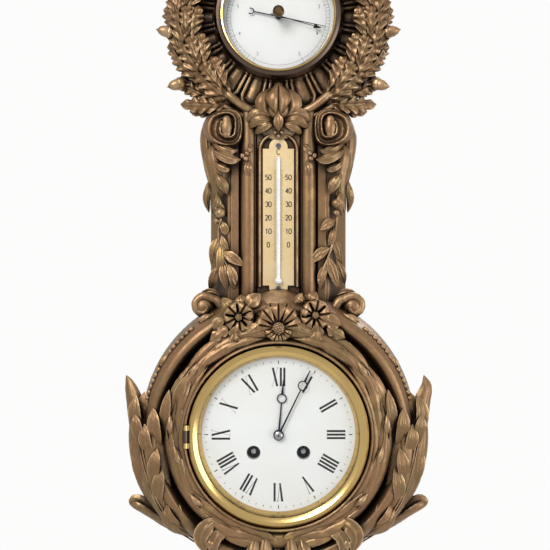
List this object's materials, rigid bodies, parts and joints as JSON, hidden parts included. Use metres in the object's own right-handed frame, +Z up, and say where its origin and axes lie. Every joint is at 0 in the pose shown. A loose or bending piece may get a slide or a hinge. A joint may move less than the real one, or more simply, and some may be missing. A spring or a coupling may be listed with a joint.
{
  "type": "aneroid barometer",
  "caption": "Carved and bronzed wall instrument with an aneroid barometer above a thermometer and a striking clock, all with working hands, doors and movement.",
  "frame": {"origin": "centre of the hole in the hanging plate, in the plane of the wall", "axes": "+Z up, -Y out of the wall towards the viewer, +X to the viewer's right; the wall is the plane Y = 0"},
  "size_m": [0.3296, 0.084, 0.775],
  "materials": {
    "bronzed_wood": "bronze paint over carved wood, satin, worn",
    "bronze_pearls": "bronze paint over carved wood, satin",
    "raw_wood": "unpainted old wood, matt",
    "door_brass": "thin sheet brass, dull",
    "steel": "satin steel",
    "scale_brass": "pale silvered and lacquered brass, satin, with an engraved scale",
    "clear_glass": "clear, polished",
    "mercury": "liquid metal",
    "dark_brass": "patinated brass, satin",
    "scale_enamel": "white enamel with a faint printed scale",
    "capsule_metal": "corrugated white metal, satin",
    "movement_brass": "lacquered brass, satin",
    "bell_metal": "cast bell metal, polished",
    "dial_enamel": "white enamel, gloss",
    "bezel_brass": "gilt brass, polished and worn",
    "set_hand_brass": "polished brass",
    "blued_steel": "blued steel, polished"
  },
  "bodies": {
    "case": {"back_board": "raw_wood", "drum_body": "bronzed_wood", "inner_moulding": "bronzed_wood", "bead_strings": "bronze_pearls", "neck_body": "bronzed_wood", "volute_left": "bronzed_wood", "volute_right": "bronzed_wood", "leaf_drops": "bronzed_wood", "gadroon_frame": "bronzed_wood", "wreath_left": "bronzed_wood", "wreath_right": "bronzed_wood", "crest_bow": "bronzed_wood", "bud_boss": "bronzed_wood", "flower_spray": "bronzed_wood", "side_scrolls": "bronzed_wood", "acanthus_left": "bronzed_wood", "acanthus_right": "bronzed_wood", "pendant_drop": "bronzed_wood", "hanging_plate": "steel", "screws_and_pin": "steel", "thermometer_plate": "scale_brass", "thermometer_tube": "clear_glass", "thermometer_mercury": "mercury", "baro_bezel": "dark_brass", "baro_glass": "clear_glass", "baro_dial": "scale_enamel", "baro_can": "dark_brass", "baro_capsule": "capsule_metal", "baro_mainspring": "steel", "dial_plate": "movement_brass", "clock_dial": "dial_enamel", "front_plate": "movement_brass", "back_plate": "movement_brass", "pillars": "movement_brass", "bell": "bell_metal", "bezel_hinge": "movement_brass"},
    "bezel_door": {"clock_bezel": "bezel_brass", "clock_glass": "clear_glass"},
    "minute_work": {"minute_hand": "blued_steel", "hand_collet": "movement_brass", "cannon_pinion": "movement_brass", "centre_wheel": "movement_brass"},
    "hour_work": {"hour_hand": "blued_steel", "hour_wheel": "movement_brass"},
    "minute_wheel_work": {"minute_wheel": "movement_brass"},
    "going_barrel_body": {"going_barrel": "movement_brass"},
    "going_arbor_body": {"going_arbor": "steel"},
    "intermediate_body": {"intermediate_wheel": "movement_brass"},
    "third_body": {"third_wheel": "movement_brass"},
    "escape_body": {"escape_wheel": "movement_brass"},
    "anchor_body": {"anchor": "steel"},
    "pendulum_body": {"pendulum": "movement_brass"},
    "strike_barrel_body": {"strike_barrel": "movement_brass"},
    "strike_arbor_body": {"strike_arbor": "steel"},
    "pin_wheel_body": {"pin_wheel": "movement_brass"},
    "hammer_body": {"hammer": "steel"},
    "back_door_body": {"back_door": "door_brass"},
    "pointer_body": {"baro_pointer": "blued_steel"},
    "set_hand_body": {"set_hand": "set_hand_brass"},
    "lever_body": {"baro_lever": "movement_brass"}
  },
  "joints": [
    {"name": "bezel_door_swing", "type": "hinge", "parent": "case", "child": "bezel_door", "pos_m": [-0.092, -0.08, -0.532], "axis": [0, 0, -1], "range_deg": [0, 110]},
    {"name": "minute_hand_turn", "type": "hinge", "parent": "case", "child": "minute_work", "pos_m": [0, -0.06, -0.532], "axis": [0, 1, 0], "continuous": true},
    {"name": "hour_hand_turn", "type": "hinge", "parent": "case", "child": "hour_work", "pos_m": [0, -0.066, -0.532], "axis": [0, 1, 0], "continuous": true},
    {"name": "minute_wheel_turn", "type": "hinge", "parent": "case", "child": "minute_wheel_work", "pos_m": [0, -0.064, -0.544], "axis": [0, 1, 0], "continuous": true},
    {"name": "intermediate_turn", "type": "hinge", "parent": "case", "child": "intermediate_body", "pos_m": [0.01609, -0.046, -0.52718], "axis": [0, 1, 0], "continuous": true},
    {"name": "going_barrel_turn", "type": "hinge", "parent": "case", "child": "going_barrel_body", "pos_m": [0.025, -0.046, -0.55], "axis": [0, 1, 0], "continuous": true},
    {"name": "third_turn", "type": "hinge", "parent": "case", "child": "third_body", "pos_m": [-0.00929, -0.046, -0.518], "axis": [0, 1, 0], "continuous": true},
    {"name": "escape_turn", "type": "hinge", "parent": "case", "child": "escape_body", "pos_m": [0, -0.046, -0.507], "axis": [0, 1, 0], "continuous": true},
    {"name": "going_winding", "type": "hinge", "parent": "case", "child": "going_arbor_body", "pos_m": [0.025, -0.046, -0.55], "axis": [0, 1, 0], "continuous": true},
    {"name": "strike_winding", "type": "hinge", "parent": "case", "child": "strike_arbor_body", "pos_m": [-0.025, -0.046, -0.55], "axis": [0, 1, 0], "continuous": true},
    {"name": "strike_barrel_turn", "type": "hinge", "parent": "case", "child": "strike_barrel_body", "pos_m": [-0.025, -0.046, -0.55], "axis": [0, 1, 0], "continuous": true},
    {"name": "pin_wheel_turn", "type": "hinge", "parent": "case", "child": "pin_wheel_body", "pos_m": [-0.02925, -0.046, -0.52587], "axis": [0, 1, 0], "continuous": true},
    {"name": "pendulum_swing", "type": "hinge", "parent": "case", "child": "pendulum_body", "pos_m": [0, -0.024, -0.4915], "axis": [0, 1, 0], "range_deg": [-3.5, 3.5]},
    {"name": "anchor_rock", "type": "hinge", "parent": "case", "child": "anchor_body", "pos_m": [0, -0.04, -0.4915], "axis": [0, 1, 0], "range_deg": [-3.5, 3.5]},
    {"name": "hammer_lift", "type": "hinge", "parent": "case", "child": "hammer_body", "pos_m": [-0.034, -0.024, -0.51], "axis": [0, 1, 0], "range_deg": [0, 14], "stiffness_Nm_per_rad": 0.02, "springref_deg": -11.46},
    {"name": "back_door_swing", "type": "hinge", "parent": "case", "child": "back_door_body", "pos_m": [-0.0676, -0.0013, -0.532], "axis": [0, 0, 1], "range_deg": [0, 95]},
    {"name": "pointer_turn", "type": "hinge", "parent": "case", "child": "pointer_body", "pos_m": [0, -0.04, -0.105], "axis": [0, 1, 0], "range_deg": [-251, 48]},
    {"name": "lever_rock", "type": "hinge", "parent": "case", "child": "lever_body", "pos_m": [0.03, -0.03, -0.125], "axis": [0, 1, 0], "range_deg": [-2.2, 10.5]},
    {"name": "set_hand_turn", "type": "hinge", "parent": "case", "child": "set_hand_body", "pos_m": [0, -0.05, -0.105], "axis": [0, 1, 0], "continuous": true}
  ],
  "couplings": [
    {"joint": "hour_hand_turn", "follows": "minute_hand_turn", "ratio": 0.083333},
    {"joint": "minute_wheel_turn", "follows": "minute_hand_turn", "ratio": -0.33333},
    {"joint": "intermediate_turn", "follows": "minute_hand_turn", "ratio": -0.16667},
    {"joint": "going_barrel_turn", "follows": "minute_hand_turn", "ratio": 0.027778},
    {"joint": "third_turn", "follows": "minute_hand_turn", "ratio": -11},
    {"joint": "escape_turn", "follows": "minute_hand_turn", "ratio": 121},
    {"joint": "pin_wheel_turn", "follows": "strike_barrel_turn", "ratio": -6},
    {"joint": "anchor_rock", "follows": "pendulum_swing", "ratio": 1},
    {"joint": "lever_rock", "follows": "pointer_turn", "ratio": -0.041667}
  ]
}
